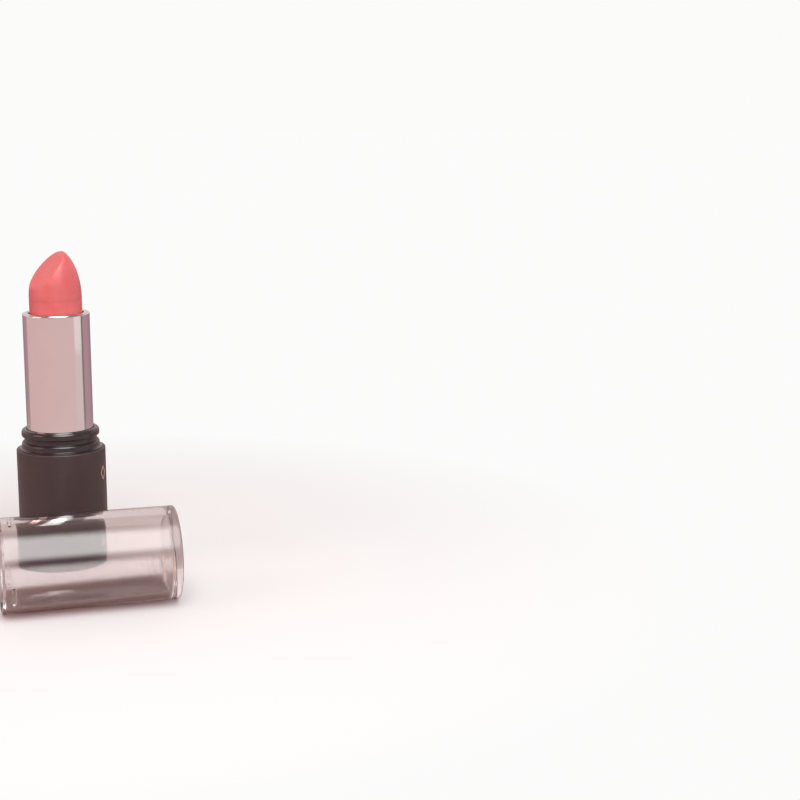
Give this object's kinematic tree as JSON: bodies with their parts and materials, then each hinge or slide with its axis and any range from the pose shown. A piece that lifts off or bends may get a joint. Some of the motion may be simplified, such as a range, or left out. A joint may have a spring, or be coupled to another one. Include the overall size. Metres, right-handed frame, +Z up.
{
  "type": "twist-up lipstick with clear cap",
  "caption": "Twist-up bullet lipstick raised part way out of a polished tube on a dark base, with its clear cap lying beside it.",
  "frame": {"origin": "centre of the base's foot, on the lipstick's own axis", "axes": "+Z up along the lipstick's axis; +X along the lying cap, from its mouth to its closed end; the cap lies on the -Y side"},
  "size_m": [0.0384, 0.0551, 0.0751],
  "materials": {
    "base_plastic": "satin-matt moulded, near-black brown",
    "neck_plastic": "satin moulded, near-black brown",
    "weight_steel": "plain turned steel",
    "label_film": "printed film, blank",
    "mechanism_plastic": "natural acetal",
    "brake_rubber": "translucent silicone",
    "tube_metal": "polished and anodised bright",
    "cam_plastic": "smooth moulded",
    "cup_plastic": "smooth moulded",
    "lip_colour": "cast wax, soft satin sheen, coral",
    "cap_clear": "clear, polished, faint smoky-pink tint"
  },
  "bodies": {
    "base": {"base_shell": "base_plastic", "inner_base": "neck_plastic", "base_weight": "weight_steel", "shade_label": "label_film", "inner_body": "mechanism_plastic", "brake_ring": "brake_rubber"},
    "tube": {"metal_tube": "tube_metal", "spiral_sleeve": "cam_plastic"},
    "carrier": {"carrier_cup": "cup_plastic", "bullet": "lip_colour"},
    "cap": {"cap": "cap_clear"}
  },
  "joints": [
    {"name": "tube_twist", "type": "hinge", "parent": "base", "child": "tube", "pos_m": [0, 0, 0], "axis": [0, 0, 1], "range_deg": [-146, 348]},
    {"name": "bullet_slide", "type": "slide", "parent": "base", "child": "carrier", "axis": [0, 0, 1], "range_m": [-0.0155, 0.0065]},
    {"name": "cap_tip", "type": "hinge", "parent": "base", "child": "cap", "pos_m": [-0.0174, -0.0344, 0], "axis": [0, -1, 0], "range_deg": [0, 90]}
  ],
  "couplings": [
    {"joint": "bullet_slide", "follows": "tube_twist", "m_per_rad": -0.0025465}
  ]
}
